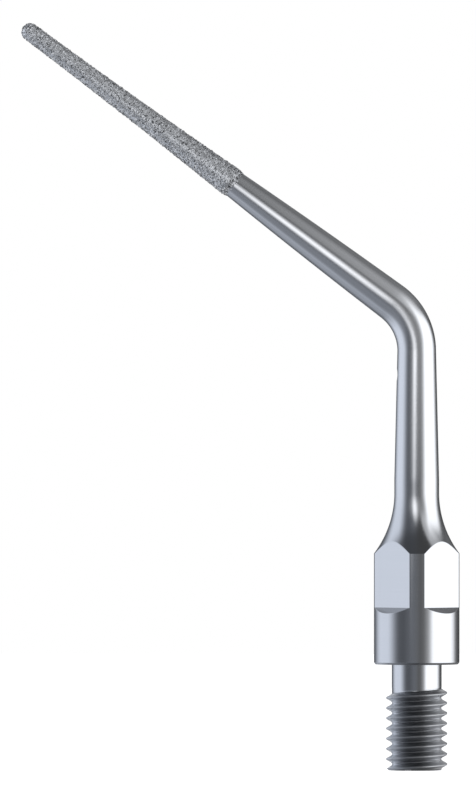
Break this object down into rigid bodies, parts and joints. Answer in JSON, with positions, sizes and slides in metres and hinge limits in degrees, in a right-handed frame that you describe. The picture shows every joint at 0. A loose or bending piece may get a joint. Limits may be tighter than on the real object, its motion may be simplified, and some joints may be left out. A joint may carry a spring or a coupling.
{
  "type": "dental scaler tip",
  "caption": "Slender angled scaler tip with a diamond-coated working end, wrench flats and a threaded shank for a powered dental handpiece.",
  "frame": {"origin": "where the screw's axis meets the collar's underside, which seats on the handpiece", "axes": "+Z from the seat up the neck, along the screw's axis; the working arm leans from +Z towards -X; the bend lies in the XZ plane"},
  "size_m": [0.0215, 0.0042, 0.0367],
  "materials": {
    "polished_steel": "polished",
    "nickel_plate": "satin",
    "diamond_grit": "matte"
  },
  "bodies": {
    "root": {"tip_body": "polished_steel", "nickel_bond": "nickel_plate", "diamond_grit": "diamond_grit"}
  },
  "joints": []
}
